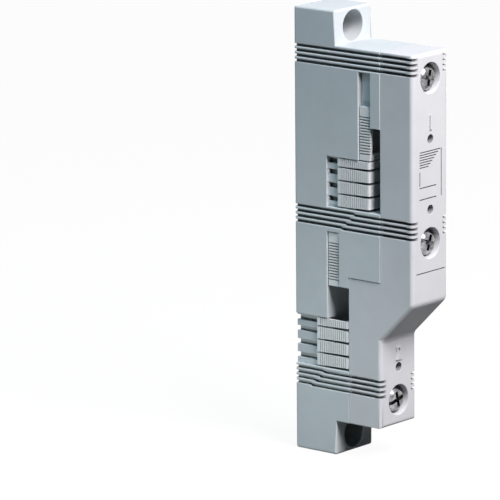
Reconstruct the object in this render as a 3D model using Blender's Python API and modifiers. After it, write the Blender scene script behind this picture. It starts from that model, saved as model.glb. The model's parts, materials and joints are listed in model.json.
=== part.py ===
"""Two-pole stepped busbar support: a moulded base and a screwed-on cover that hold two flat bars.

The origin is the middle of the rear mounting face. +X is to the right, +Z is up and the front faces -Y,
so a depth in front of the mounting face is a negative Y.
"""

import math

import bmesh
import bpy
from mathutils import Matrix, Vector

MM = 0.001

# Outline of the base and the cover
BASE_WIDTH = 21.3 * MM
COVER_WIDTH = 20.7 * MM
HEIGHT = 166.6 * MM
BODY_HEIGHT = 140.8 * MM
LUG_DEPTH = 19.3 * MM
COVER_FRONT = 55.05 * MM
COVER_REAR = 40.2 * MM
SEAM_GAP = 0.3 * MM
STEP_HEIGHT = -15.2 * MM
SLOPE_TOP = -22.5 * MM
SLOPE_BOTTOM = -37.2 * MM
LUG_ROUNDING = 0.9 * MM
COVER_ROUNDING = 1.6 * MM

# The lower pole repeats the upper one, lower down and further back
POLE_PITCH = 61.0 * MM
POLE_STEP = 14.8 * MM

# One pole, given for the upper one. The lower one's chamber is open at the mounting face
CHAMBER_REAR = 15.2 * MM
CHAMBER_FLOOR = 10.2 * MM
CHAMBER_TOP = 29.1 * MM
SLOT_TOP = 41.6 * MM
POCKET_TOP = 61.8 * MM
POCKET_REAR = 30.0 * MM
POCKET_FRONT = 35.4 * MM
GUIDE_FRONT = 32.0 * MM
GUIDE_HALF_WIDTH = 8.3 * MM
BOSS_BOTTOM = 46.2 * MM
WEB_FRONT = 27.6 * MM
RAIL_HALF_WIDTH = 9.3 * MM
RAIL_GROOVE_HALF_WIDTH = 7.5 * MM
RAIL_GROOVE_HEIGHT = 1.9 * MM
THIN_BAR_FACE = 35.1 * MM

# Step blocks, the first one on top
BLOCK_COUNT = 4
BLOCK_PITCH = 5.0 * MM
BLOCK_HEIGHT = 4.4 * MM
TOP_BLOCK_HEIGHT = 3.0 * MM
BLOCK_LENGTH = 15.0 * MM
BLOCK_HALF_WIDTH = 10.3 * MM
BLOCK_FRONT_WALL = 2.2 * MM
BLOCK_SKIRT = 0.7 * MM
LOWEST_BLOCK = 10.8 * MM
TONGUE_HEIGHT = 1.4 * MM
TONGUE_RISE = 2.4 * MM
TOP_TONGUE_RISE = 1.6 * MM
TONGUE_CLEARANCE = 0.3 * MM
FORWARD_STEP = 4.8 * MM

# Thickness slides
SLIDE_HEIGHT = 20.0 * MM
SLIDE_BOTTOM = 29.3 * MM
SLIDE_REAR = 30.3 * MM
SLIDE_HALF_WIDTH = 10.1 * MM
SLIDE_LEG = 1.5 * MM
SLIDE_FOOT = 2.0 * MM
SLIDE_TRAVEL = 12.2 * MM
SLIDE_RIB_COUNT = 14
SLIDE_RIB_PITCH = 1.05 * MM
SLIDE_RIB_GAP = 0.4 * MM
SLIDE_RIB_DEPTH = 0.45 * MM
SLIDE_FIRST_RIB = 2.2 * MM

# Grooves across the sides, in three bands of four
GROOVE_COUNT = 4
GROOVE_PITCH = 1.92 * MM
GROOVE_HEIGHT = 1.0 * MM
GROOVE_DEPTH = 1.7 * MM
TOP_BAND = 68.8 * MM
MIDDLE_BAND = 8.4 * MM
GROOVE_JOG = 0.45 * MM
JOG_DEPTH = 27.7 * MM

# Screws, washers and inserts
SCREW_HEIGHTS = {"top": 61.0 * MM, "middle": 0.0, "bottom": -61.0 * MM}
RECESS_RADIUS = 5.3 * MM
RECESS_MOUTH_RADIUS = 6.0 * MM
RECESS_MOUTH_DEPTH = 1.6 * MM
RECESS_DEPTH = 5.1 * MM
SHANK_HOLE_RADIUS = 2.8 * MM
WASHER_RADIUS = 5.0 * MM
WASHER_HOLE_RADIUS = 2.7 * MM
WASHER_THICKNESS = 1.0 * MM
STACK_GAP = 0.2 * MM
HEAD_RADIUS = 4.8 * MM
HEAD_HEIGHT = 3.2 * MM
HEAD_EDGE = 1.5 * MM
SHANK_RADIUS = 2.45 * MM
SHANK_LENGTH = 17.4 * MM
TIP_CHAMFER = 0.7 * MM
SLOT_LENGTH = 11.0 * MM
SLOT_WIDTH = 1.1 * MM
SLOT_DEPTH = 1.3 * MM
CROSS_LENGTH = 5.6 * MM
CROSS_WIDTH = 1.3 * MM
CROSS_DEPTH = 1.8 * MM
INSERT_RADIUS = 3.5 * MM
INSERT_BORE_RADIUS = 2.7 * MM
INSERT_LENGTH = 8.0 * MM
INSERT_GAP = 0.3 * MM

# Mounting holes in the lugs
LUG_HOLE_HEIGHT = 76.5 * MM
LUG_HOLE_RADIUS = 3.2 * MM
LUG_SEAT_RADIUS = 5.8 * MM
LUG_SEAT_DEPTH = 6.0 * MM

# Probe holes in the cover and hollows that keep the walls even
PROBE_RADIUS = 1.7 * MM
PROBE_HEIGHTS = (38.5 * MM, 12.4 * MM, -48.6 * MM)
COVER_SIDE_WALL = 2.0 * MM
COVER_FRONT_WALL = 2.4 * MM
COVER_CELL_HEIGHT = 9.6 * MM
COVER_CELL_PITCH = 11.4 * MM
COVER_CELLS = {"upper": (4, 10.0 * MM), "lower": (3, 9.6 * MM)}
CORE_HALF_WIDTH = 7.3 * MM
CORE_HEIGHT = 10.0 * MM
CORE_PITCH = 12.2 * MM
CORE_DEPTH = 11.0 * MM
FIRST_CORE = 6.0 * MM
CORES_ABOVE = 5
CORES_BELOW = 2
BOTTOM_CORE = -67.0 * MM

# How far cutters run past a surface, and how far joined shapes overlap
PAST = 2.0 * MM
OVERLAP = 0.5 * MM
ROUND_STEPS = 28
DOME_STEPS = 4
LUG_ROUNDING_STEPS = 2
COVER_ROUNDING_STEPS = 3
WELD = 0.001 * MM
FLAT_ANGLE = math.radians(1)
SHARP_ANGLE = math.radians(40)

POLES = {"upper": (0.0, 0.0), "lower": (-POLE_PITCH, -POLE_STEP)}
CHAMBER_REARS = {"upper": CHAMBER_REAR, "lower": -PAST}
BLOCK_FRONTS = {"upper": THIN_BAR_FACE, "lower": THIN_BAR_FACE + FORWARD_STEP}
SLIDE_RISES = {"upper": 0.0, "lower": SLIDE_TRAVEL}

# Axes of an outline drawn in depth and height and extruded across the width
ACROSS = Matrix(((0, 0, -1), (-1, 0, 0), (0, 1, 0))).to_4x4()
# Axes of an outline drawn in width and height, or of a round shape, extruded towards the front
FORWARD = Matrix(((1, 0, 0), (0, 0, -1), (0, 1, 0))).to_4x4()


def clear_scene():
    for obj in list(bpy.data.objects):
        bpy.data.objects.remove(obj)


def make_collection(name, hidden):
    collection = bpy.data.collections.new(name)
    collection.hide_render = hidden
    bpy.context.scene.collection.children.link(collection)
    return collection


def make_material(name, colour, roughness, metallic):
    material = bpy.data.materials.new(name)
    material.use_nodes = True
    shader = material.node_tree.nodes["Principled BSDF"]
    shader.inputs["Base Color"].default_value = (*colour, 1.0)
    shader.inputs["Roughness"].default_value = roughness
    shader.inputs["Metallic"].default_value = metallic
    return material


def mesh_object(name, bm, collection):
    mesh = bpy.data.meshes.new(name)
    bm.to_mesh(mesh)
    bm.free()
    obj = bpy.data.objects.new(name, mesh)
    collection.objects.link(obj)
    return obj


def box_bmesh(low, high):
    """A box between two corners given as (x, depth, z)."""
    low = Vector((low[0], -low[1], low[2]))
    high = Vector((high[0], -high[1], high[2]))
    size = high - low
    bm = bmesh.new()
    matrix = Matrix.Translation((low + high) / 2) @ Matrix.Diagonal((*map(abs, size), 1))
    bmesh.ops.create_cube(bm, size=1, matrix=matrix)
    return bm


def box(name, low, high, collection):
    return mesh_object(name, box_bmesh(low, high), collection)


def welded(guide):
    """The mesh that a guide object evaluates to, closed and clean, in a bmesh. The guide is removed."""
    bpy.context.scene.collection.objects.link(guide)
    graph = bpy.context.evaluated_depsgraph_get()
    mesh = bpy.data.meshes.new_from_object(guide.evaluated_get(graph))
    bpy.data.objects.remove(guide)
    bm = bmesh.new()
    bm.from_mesh(mesh)
    bpy.data.meshes.remove(mesh)
    bmesh.ops.remove_doubles(bm, verts=bm.verts, dist=WELD)
    bmesh.ops.dissolve_degenerate(bm, edges=bm.edges, dist=WELD)
    bmesh.ops.recalc_face_normals(bm, faces=bm.faces)
    return bm


def prism_bmesh(outline, start, end, axes):
    """A flat outline filled and extruded along the third of the given axes, from start to end."""
    curve = bpy.data.curves.new("outline", "CURVE")
    curve.dimensions = "2D"
    curve.fill_mode = "BOTH"
    curve.extrude = (end - start) / 2
    spline = curve.splines.new("POLY")
    spline.points.add(len(outline) - 1)
    for point, (u, v) in zip(spline.points, outline):
        point.co = (u, v, 0, 1)
    spline.use_cyclic_u = True
    middle = Matrix.Translation((0, 0, (start + end) / 2))
    bm = welded(bpy.data.objects.new("outline", curve))
    bmesh.ops.dissolve_limit(bm, angle_limit=FLAT_ANGLE, verts=bm.verts, edges=bm.edges)
    bmesh.ops.transform(bm, matrix=axes @ middle, verts=bm.verts)
    return bm


def prism(name, outline, start, end, axes, collection):
    return mesh_object(name, prism_bmesh(outline, start, end, axes), collection)


def rod(name, radius, depth_low, depth_high, z, collection, mouth_radius=None):
    """A round bar or cone along the depth, centred across the width at height z."""
    length = depth_high - depth_low
    centre = Matrix.Translation((0, -(depth_low + depth_high) / 2, z))
    bm = bmesh.new()
    bmesh.ops.create_cone(
        bm,
        cap_ends=True,
        segments=ROUND_STEPS,
        radius1=radius,
        radius2=mouth_radius or radius,
        depth=length,
        matrix=centre @ FORWARD,
    )
    return mesh_object(name, bm, collection)


def turned(name, profile, collection):
    """A profile of (radius, forward distance) pairs, listed from the front, turned about its own Z axis."""
    bm = bmesh.new()
    verts = [bm.verts.new((radius, 0, forward)) for radius, forward in profile]
    for first, second in zip(verts, verts[1:] + verts[:1]):
        if first.co.x > 0 or second.co.x > 0:
            bm.edges.new((first, second))
    mesh = bpy.data.meshes.new("profile")
    bm.to_mesh(mesh)
    bm.free()
    guide = bpy.data.objects.new("profile", mesh)
    screw = guide.modifiers.new("turn", "SCREW")
    screw.axis = "Z"
    screw.steps = ROUND_STEPS
    screw.render_steps = ROUND_STEPS
    screw.use_merge_vertices = True
    screw.merge_threshold = WELD
    obj = mesh_object(name, welded(guide), collection)
    obj.data.shade_smooth()
    obj.data.set_sharp_from_angle(angle=SHARP_ANGLE)
    return obj


def cut(target, pieces, cutters):
    """Cuts all the pieces out of the target in one Boolean, from a collection named for the target."""
    own = bpy.data.collections.new(f"{target.name}_cutters")
    cutters.children.link(own)
    for piece in pieces:
        piece.hide_render = True
        piece.display_type = "WIRE"
        cutters.objects.unlink(piece)
        own.objects.link(piece)
    modifier = target.modifiers.new("cutters", "BOOLEAN")
    modifier.operation = "DIFFERENCE"
    modifier.solver = "EXACT"
    modifier.operand_type = "COLLECTION"
    modifier.collection = own


def round_edges(bm, chosen, width, segments):
    edges = [edge for edge in bm.edges if chosen(edge)]
    bmesh.ops.bevel(
        bm, geom=edges, offset=width, offset_type="OFFSET", segments=segments, profile=0.5, affect="EDGES"
    )


def cover_front(z):
    """Depth of the cover's front at a height, which drops by one step along the slope."""
    share = (SLOPE_TOP - z) / (SLOPE_TOP - SLOPE_BOTTOM)
    return COVER_FRONT - POLE_STEP * min(max(share, 0.0), 1.0)


def screw_faces(place):
    """Depths of the cover's front and rear face and of the base's front face at one screw."""
    front = cover_front(SCREW_HEIGHTS[place])
    rear = front - COVER_FRONT + COVER_REAR
    return front, rear, rear - SEAM_GAP


def block_sizes(index):
    """Bottom, height and tongue rise of a step block of the upper pole, counted from the top."""
    bottom = LOWEST_BLOCK + (BLOCK_COUNT - index) * BLOCK_PITCH
    if index == 1:
        return bottom, TOP_BLOCK_HEIGHT, TOP_TONGUE_RISE
    return bottom, BLOCK_HEIGHT, TONGUE_RISE


def base_shell(parts):
    """The base's outline across its full width, with rounded lug corners."""
    front = COVER_REAR - SEAM_GAP
    outline = [
        (0, -HEIGHT / 2),
        (LUG_DEPTH, -HEIGHT / 2),
        (LUG_DEPTH, -BODY_HEIGHT / 2),
        (front - POLE_STEP, -BODY_HEIGHT / 2),
        (front - POLE_STEP, STEP_HEIGHT),
        (front, STEP_HEIGHT),
        (front, BODY_HEIGHT / 2),
        (LUG_DEPTH, BODY_HEIGHT / 2),
        (LUG_DEPTH, HEIGHT / 2),
        (0, HEIGHT / 2),
    ]
    bm = prism_bmesh(outline, -BASE_WIDTH / 2, BASE_WIDTH / 2, ACROSS)

    def on_lug(edge):
        heights = [abs(vert.co.z) for vert in edge.verts]
        depths = [-vert.co.y for vert in edge.verts]
        end_face = min(heights) > HEIGHT / 2 - OVERLAP
        front_corner = max(heights) > HEIGHT / 2 - OVERLAP and min(depths) > LUG_DEPTH - OVERLAP
        return end_face or front_corner

    round_edges(bm, on_lug, LUG_ROUNDING, LUG_ROUNDING_STEPS)
    return mesh_object("rear_base", bm, parts)


def both_sides(name, inner, outer, low, high, cutters):
    """A pair of boxes left and right of the middle, between two widths and two (depth, z) corners."""
    return [
        box(f"{name}_{side}", (min(ends), *low), (max(ends), *high), cutters)
        for side, ends in (("left", (-inner, -outer)), ("right", (inner, outer)))
    ]


def pole_openings(pole, cutters):
    """The bar slot and the slide pocket of one pole."""
    dz, dd = POLES[pole]
    side = BASE_WIDTH / 2 + PAST
    front = COVER_REAR + PAST + dd
    slot = box(
        f"{pole}_slot",
        (-side, POCKET_REAR + dd, CHAMBER_TOP - OVERLAP + dz),
        (side, front, SLOT_TOP + dz),
        cutters,
    )
    middle = box(
        f"{pole}_pocket",
        (-GUIDE_HALF_WIDTH - OVERLAP, GUIDE_FRONT + dd, SLOT_TOP - OVERLAP + dz),
        (GUIDE_HALF_WIDTH + OVERLAP, POCKET_FRONT + dd, BOSS_BOTTOM + dz),
        cutters,
    )
    low = (POCKET_REAR + dd, CHAMBER_TOP - OVERLAP + dz)
    high = (POCKET_FRONT + dd, POCKET_TOP + dz)
    return [slot, middle, *both_sides(f"{pole}_leg_pocket", GUIDE_HALF_WIDTH, side, low, high, cutters)]


def block_chamber(pole, cutters):
    """The space of the step blocks, round an upright web that is grooved for the blocks' tongues."""
    dz, dd = POLES[pole]
    side = BASE_WIDTH / 2 + PAST
    front = COVER_REAR + PAST + dd
    rear = CHAMBER_REARS[pole]
    floor, top = CHAMBER_FLOOR + dz, CHAMBER_TOP + dz
    made = [box(f"{pole}_chamber_front", (-side, WEB_FRONT + dd, floor), (side, front, top), cutters)]
    made += both_sides(f"{pole}_chamber", RAIL_HALF_WIDTH, side, (rear, floor), (front, top), cutters)
    for index in range(1, BLOCK_COUNT + 1):
        bottom, _, rise = block_sizes(index)
        low = bottom + rise - RAIL_GROOVE_HEIGHT / 2 + dz
        made += both_sides(
            f"{pole}_rail_groove_{index}",
            RAIL_GROOVE_HALF_WIDTH,
            RAIL_HALF_WIDTH + OVERLAP,
            (rear, low),
            (WEB_FRONT + OVERLAP + dd, low + RAIL_GROOVE_HEIGHT),
            cutters,
        )
    return made


def groove_outline(z, jog):
    """One groove seen from the side: straight, or with a small step down on its way to the front."""
    rear, front = -PAST, COVER_FRONT + PAST
    half = GROOVE_HEIGHT / 2
    if not jog:
        return [(rear, z - half), (front, z - half), (front, z + half), (rear, z + half)]
    start, end = jog, jog + GROOVE_JOG
    rear_z = z + GROOVE_JOG
    return [
        (rear, rear_z - half),
        (start, rear_z - half),
        (end, z - half),
        (front, z - half),
        (front, z + half),
        (end, z + half),
        (start, rear_z + half),
        (rear, rear_z + half),
    ]


def side_grooves(prefix, width, cutters):
    """The three bands of grooves on both sides of a moulding of the given width."""
    bands = {
        "top": (TOP_BAND, None),
        "middle": (MIDDLE_BAND, JOG_DEPTH),
        "bottom": (MIDDLE_BAND - POLE_PITCH, JOG_DEPTH - POLE_STEP),
    }
    inner, outer = width / 2 - GROOVE_DEPTH, width / 2 + PAST
    made = []
    for band, (first, first_jog) in bands.items():
        for index in range(GROOVE_COUNT):
            drop = index * GROOVE_PITCH
            outline = groove_outline(first - drop, first_jog and first_jog - drop)
            name = f"{prefix}_{band}_groove_{index + 1}"
            made.append(prism(f"{name}_left", outline, inner, outer, ACROSS, cutters))
            made.append(prism(f"{name}_right", outline, -outer, -inner, ACROSS, cutters))
    return made


def lug_holes(cutters):
    made = []
    for name, z in (("top", LUG_HOLE_HEIGHT), ("bottom", -LUG_HOLE_HEIGHT)):
        made.append(rod(f"{name}_lug_hole", LUG_HOLE_RADIUS, -PAST, LUG_DEPTH, z, cutters))
        made.append(rod(f"{name}_lug_seat", LUG_SEAT_RADIUS, LUG_SEAT_DEPTH, LUG_DEPTH + PAST, z, cutters))
    return made


def insert_holes(cutters):
    made = []
    for place, z in SCREW_HEIGHTS.items():
        face = screw_faces(place)[2]
        bottom = face - INSERT_LENGTH - 2 * INSERT_GAP
        radius = INSERT_RADIUS + INSERT_GAP
        made.append(rod(f"{place}_insert_hole", radius, bottom, face + SEAM_GAP, z, cutters))
    return made


def rear_cores(cutters):
    """Pockets in the mounting face that keep the moulding's walls even."""
    lows = [FIRST_CORE + index * CORE_PITCH for index in range(CORES_ABOVE)]
    lows += [-FIRST_CORE - CORE_HEIGHT - index * CORE_PITCH for index in range(CORES_BELOW)]
    lows.append(BOTTOM_CORE)
    made = []
    for number, low in enumerate(lows, 1):
        corner = (CORE_HALF_WIDTH, CORE_DEPTH, low + CORE_HEIGHT)
        made.append(box(f"core_{number}", (-CORE_HALF_WIDTH, -PAST, low), corner, cutters))
    return made


def make_base(parts, cutters, plastic):
    base = base_shell(parts)
    pieces = []
    for pole in POLES:
        pieces += pole_openings(pole, cutters)
        pieces += block_chamber(pole, cutters)
    pieces += side_grooves("base", BASE_WIDTH, cutters)
    pieces += lug_holes(cutters)
    pieces += insert_holes(cutters)
    pieces += rear_cores(cutters)
    cut(base, pieces, cutters)
    base.data.materials.append(plastic)


def cover_shell(parts):
    """The cover's stepped outline, with its visible edges rounded."""
    outline = [
        (COVER_REAR, BODY_HEIGHT / 2),
        (COVER_FRONT, BODY_HEIGHT / 2),
        (COVER_FRONT, SLOPE_TOP),
        (COVER_FRONT - POLE_STEP, SLOPE_BOTTOM),
        (COVER_FRONT - POLE_STEP, -BODY_HEIGHT / 2),
        (COVER_REAR - POLE_STEP, -BODY_HEIGHT / 2),
        (COVER_REAR - POLE_STEP, STEP_HEIGHT - SEAM_GAP),
        (COVER_REAR, STEP_HEIGHT - SEAM_GAP),
    ]
    bm = prism_bmesh(outline, -COVER_WIDTH / 2, COVER_WIDTH / 2, ACROSS)

    def on_front(edge):
        return all(-vert.co.y > cover_front(vert.co.z) - OVERLAP for vert in edge.verts)

    round_edges(bm, on_front, COVER_ROUNDING, COVER_ROUNDING_STEPS)
    return mesh_object("front_cover", bm, parts)


def cover_hollows(cutters):
    """Cells open towards the bars, with ribs left between them."""
    inner = COVER_WIDTH / 2 - COVER_SIDE_WALL
    made = []
    for pole, (count, lowest) in COVER_CELLS.items():
        dz, dd = POLES[pole]
        rear = COVER_REAR + dd - PAST
        front = COVER_FRONT + dd - COVER_FRONT_WALL
        for index in range(count):
            low = lowest + dz + index * COVER_CELL_PITCH
            high = low + COVER_CELL_HEIGHT
            made.append(box(f"{pole}_cell_{index + 1}", (-inner, rear, low), (inner, front, high), cutters))
    return made


def screw_recesses(cutters):
    made = []
    for place, z in SCREW_HEIGHTS.items():
        front, rear, _ = screw_faces(place)
        floor = front - RECESS_DEPTH
        mouth = front - RECESS_MOUTH_DEPTH
        flare = (RECESS_MOUTH_RADIUS - RECESS_RADIUS) * PAST / RECESS_MOUTH_DEPTH
        made.append(rod(f"{place}_recess", RECESS_RADIUS, floor, front + PAST, z, cutters))
        wide = RECESS_MOUTH_RADIUS + flare
        made.append(rod(f"{place}_recess_mouth", RECESS_RADIUS, mouth, front + PAST, z, cutters, wide))
        made.append(rod(f"{place}_shank_hole", SHANK_HOLE_RADIUS, rear - PAST, floor + PAST, z, cutters))
    return made


def probe_holes(cutters):
    made = []
    for number, z in enumerate(PROBE_HEIGHTS, 1):
        front = cover_front(z)
        floor = front - COVER_FRONT_WALL - PAST
        made.append(rod(f"probe_hole_{number}", PROBE_RADIUS, floor, front + PAST, z, cutters))
    return made


def make_cover(parts, cutters, plastic):
    cover = cover_shell(parts)
    pieces = cover_hollows(cutters) + screw_recesses(cutters) + probe_holes(cutters)
    pieces += side_grooves("cover", COVER_WIDTH, cutters)
    cut(cover, pieces, cutters)
    cover.data.materials.append(plastic)


def make_block(pole, index, parts, cutters, plastic):
    """One step block: a front wall with two legs whose tongues run in the grooves of the web."""
    dz, dd = POLES[pole]
    bottom, height, rise = block_sizes(index)
    name = f"{pole}_block_{index}"
    block = box(name, (-BLOCK_HALF_WIDTH, -BLOCK_LENGTH, 0), (BLOCK_HALF_WIDTH, 0, height), parts)
    inner = BLOCK_HALF_WIDTH - BLOCK_SKIRT
    tip = RAIL_GROOVE_HALF_WIDTH + TONGUE_CLEARANCE
    rear, front = -BLOCK_LENGTH - PAST, -BLOCK_FRONT_WALL
    low, high = rise - TONGUE_HEIGHT / 2, rise + TONGUE_HEIGHT / 2
    gaps = [
        box(f"{name}_gap_middle", (-tip, rear, -PAST), (tip, front, height + PAST), cutters),
        box(f"{name}_gap_below", (-inner, rear, -PAST), (inner, front, low), cutters),
        box(f"{name}_gap_above", (-inner, rear, high), (inner, front, height + PAST), cutters),
    ]
    cut(block, gaps, cutters)
    for obj in (block, *gaps):
        obj.location = (0, -BLOCK_FRONTS[pole] - dd, bottom + dz)
    block.data.materials.append(plastic)


def make_slide(pole, parts, cutters, plastic):
    """One thickness slide: two ribbed legs joined by a foot that passes in front of the guide."""
    dz, dd = POLES[pole]
    depth = THIN_BAR_FACE - SLIDE_REAR
    side = SLIDE_HALF_WIDTH
    inner = side - SLIDE_LEG
    foot_rear = GUIDE_FRONT + SEAM_GAP - SLIDE_REAR
    top = SLIDE_HEIGHT + PAST
    name = f"{pole}_slide"
    slide = box(name, (-side, 0, 0), (side, depth, SLIDE_HEIGHT), parts)
    pieces = [
        box(f"{name}_gap", (-inner, -PAST, SLIDE_FOOT), (inner, depth + PAST, top), cutters),
        box(f"{name}_guide_gap", (-inner, -PAST, -PAST), (inner, foot_rear, top), cutters),
    ]
    for index in range(SLIDE_RIB_COUNT):
        low = SLIDE_FIRST_RIB + index * SLIDE_RIB_PITCH
        ends = ((-PAST, low), (depth + PAST, low + SLIDE_RIB_GAP))
        pieces += both_sides(f"{name}_rib_{index + 1}", side - SLIDE_RIB_DEPTH, side + PAST, *ends, cutters)
    cut(slide, pieces, cutters)
    for obj in (slide, *pieces):
        obj.location = (0, -SLIDE_REAR - dd, SLIDE_BOTTOM + SLIDE_RISES[pole] + dz)
    slide.data.materials.append(plastic)


def make_screw(place, parts, cutters, steel):
    """A pan head screw with a slot and a cross arm, its origin under the head on its own axis."""
    z = SCREW_HEIGHTS[place]
    seat = screw_faces(place)[0] - RECESS_DEPTH + WASHER_THICKNESS + 2 * STACK_GAP
    dome = []
    for step in reversed(range(DOME_STEPS)):
        angle = math.radians(90) * step / DOME_STEPS
        rise = (HEAD_HEIGHT - HEAD_EDGE) * math.sin(angle)
        dome.append((HEAD_RADIUS * math.cos(angle), HEAD_EDGE + rise))
    profile = [
        (0, HEAD_HEIGHT),
        *dome,
        (HEAD_RADIUS, 0),
        (SHANK_RADIUS, 0),
        (SHANK_RADIUS, TIP_CHAMFER - SHANK_LENGTH),
        (SHANK_RADIUS - TIP_CHAMFER, -SHANK_LENGTH),
        (0, -SHANK_LENGTH),
    ]
    screw = turned(f"cover_screw_{place}", profile, parts)
    slots = []
    for name, x, y, depth in (
        ("slot", SLOT_LENGTH, SLOT_WIDTH, SLOT_DEPTH),
        ("cross", CROSS_WIDTH, CROSS_LENGTH, CROSS_DEPTH),
    ):
        bm = bmesh.new()
        size = Matrix.Diagonal((x, y, depth + PAST, 1))
        middle = Matrix.Translation((0, 0, HEAD_HEIGHT + (PAST - depth) / 2))
        bmesh.ops.create_cube(bm, size=1, matrix=middle @ size)
        slots.append(mesh_object(f"{place}_drive_{name}", bm, cutters))
    cut(screw, slots, cutters)
    for obj in (screw, *slots):
        obj.matrix_world = Matrix.Translation((0, -seat, z)) @ FORWARD
    screw.data.materials.append(steel)


def make_ring(name, radius, bore, depth_low, length, z, parts, metal):
    profile = [(bore, length), (radius, length), (radius, 0), (bore, 0)]
    ring = turned(name, profile, parts)
    ring.matrix_world = Matrix.Translation((0, -depth_low, z)) @ FORWARD
    ring.data.materials.append(metal)


def make_washer(place, parts, steel):
    floor = screw_faces(place)[0] - RECESS_DEPTH
    sizes = (WASHER_RADIUS, WASHER_HOLE_RADIUS, floor + STACK_GAP, WASHER_THICKNESS)
    make_ring(f"screw_washer_{place}", *sizes, SCREW_HEIGHTS[place], parts, steel)


def make_insert(place, parts, brass):
    rear = screw_faces(place)[2] - INSERT_GAP - INSERT_LENGTH
    sizes = (INSERT_RADIUS, INSERT_BORE_RADIUS, rear, INSERT_LENGTH)
    make_ring(f"thread_insert_{place}", *sizes, SCREW_HEIGHTS[place], parts, brass)


def main():
    clear_scene()
    parts = make_collection("busbar_support", hidden=False)
    cutters = make_collection("cutters", hidden=True)
    base_grey = make_material("base_plastic", (0.42, 0.46, 0.48), 0.45, 0.0)
    cover_grey = make_material("cover_plastic", (0.46, 0.50, 0.52), 0.45, 0.0)
    slider_grey = make_material("slider_plastic", (0.50, 0.53, 0.54), 0.5, 0.0)
    steel = make_material("plated_steel", (0.72, 0.72, 0.72), 0.25, 1.0)
    brass = make_material("brass", (0.72, 0.53, 0.24), 0.35, 1.0)
    make_base(parts, cutters, base_grey)
    make_cover(parts, cutters, cover_grey)
    for pole in POLES:
        make_slide(pole, parts, cutters, slider_grey)
        for index in range(1, BLOCK_COUNT + 1):
            make_block(pole, index, parts, cutters, slider_grey)
    for place in SCREW_HEIGHTS:
        make_screw(place, parts, cutters, steel)
        make_washer(place, parts, steel)
        make_insert(place, parts, brass)


main()
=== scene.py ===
"""Looks of the two-pole busbar support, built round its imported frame.

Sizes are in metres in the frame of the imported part: +X is right, +Z is up and the front faces -Y.
A depth is a distance in front of the rear mounting face, so it is a negative Y.
"""

import json
import math

import bmesh
import bpy
from mathutils import Matrix, Vector

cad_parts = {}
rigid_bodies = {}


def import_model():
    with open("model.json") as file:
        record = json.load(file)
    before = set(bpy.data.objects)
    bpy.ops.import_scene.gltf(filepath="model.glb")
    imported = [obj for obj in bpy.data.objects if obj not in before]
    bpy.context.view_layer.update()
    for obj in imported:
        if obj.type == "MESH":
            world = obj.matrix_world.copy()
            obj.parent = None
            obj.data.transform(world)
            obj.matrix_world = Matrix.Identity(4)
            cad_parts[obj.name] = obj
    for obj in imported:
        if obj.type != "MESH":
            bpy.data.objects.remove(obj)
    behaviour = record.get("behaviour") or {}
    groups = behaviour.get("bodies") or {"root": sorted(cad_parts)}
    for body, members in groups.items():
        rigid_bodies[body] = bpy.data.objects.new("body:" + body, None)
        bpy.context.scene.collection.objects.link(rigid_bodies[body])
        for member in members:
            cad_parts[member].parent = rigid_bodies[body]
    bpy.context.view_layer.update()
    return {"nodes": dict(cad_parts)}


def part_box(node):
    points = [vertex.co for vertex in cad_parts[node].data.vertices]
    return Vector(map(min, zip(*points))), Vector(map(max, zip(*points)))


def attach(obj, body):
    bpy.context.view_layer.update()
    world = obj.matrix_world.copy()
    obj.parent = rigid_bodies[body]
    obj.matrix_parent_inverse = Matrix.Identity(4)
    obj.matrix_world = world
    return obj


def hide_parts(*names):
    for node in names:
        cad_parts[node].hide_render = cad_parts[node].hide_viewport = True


MM = 0.001

for leftover in list(bpy.data.objects):
    bpy.data.objects.remove(leftover)
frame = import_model()

# Sizes read from the frame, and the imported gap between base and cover
BASE_LOW, BASE_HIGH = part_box("rear_base")
COVER_LOW, COVER_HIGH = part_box("front_cover")
BASE_HALF_WIDTH = BASE_HIGH.x
HALF_HEIGHT = BASE_HIGH.z
BASE_FRONT = -BASE_LOW.y
COVER_HALF_WIDTH = COVER_HIGH.x
BODY_HALF_HEIGHT = COVER_HIGH.z
COVER_FRONT = -COVER_LOW.y
POLE_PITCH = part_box("upper_block_1")[0].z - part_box("lower_block_1")[0].z
SEAM_GAP = 0.3 * MM
POLE_STEP = BASE_FRONT + SEAM_GAP + COVER_HIGH.y

# Outline and roundings. The seam shows as a hairline, so the cover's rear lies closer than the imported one
SEAM_SHOWN = 0.06 * MM
COVER_REAR = BASE_FRONT + SEAM_SHOWN
LUG_DEPTH = 19.3 * MM
STEP_HEIGHT = -15.2 * MM
SLOPE_TOP = -22.5 * MM
SLOPE_BOTTOM = -37.2 * MM
LUG_ROUNDING = 0.9 * MM
COVER_ROUNDING = 1.6 * MM
EDGE_ROUNDING = 0.45 * MM
MOUTH_ROUNDING = 0.3 * MM
SMALL_ROUNDING = 0.15 * MM
LUG_ROUNDING_STEPS = 4
COVER_ROUNDING_STEPS = 5
SMALL_ROUNDING_STEPS = 2

# One pole's openings, given for the upper one
CHAMBER_REAR = 15.2 * MM
CHAMBER_FLOOR = 10.2 * MM
CHAMBER_TOP = 29.1 * MM
SLOT_TOP = 41.6 * MM
POCKET_TOP = 61.8 * MM
POCKET_REAR = 30.0 * MM
POCKET_FRONT = 35.4 * MM
GUIDE_FRONT = 32.0 * MM
GUIDE_HALF_WIDTH = 8.3 * MM
BOSS_BOTTOM = 46.2 * MM
WEB_FRONT = 27.6 * MM
RAIL_HALF_WIDTH = 9.3 * MM
RAIL_GROOVE_HALF_WIDTH = 7.5 * MM
RAIL_GROOVE_HEIGHT = 1.9 * MM
BLOCK_COUNT = 4
TONGUE_RISE = 2.4 * MM
TOP_TONGUE_RISE = 1.6 * MM
TONGUE_HEIGHT = 1.4 * MM
TONGUE_CLEARANCE = 0.3 * MM
BLOCK_SKIRT = 0.7 * MM
BLOCK_FRONT_WALL = 2.2 * MM

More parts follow.
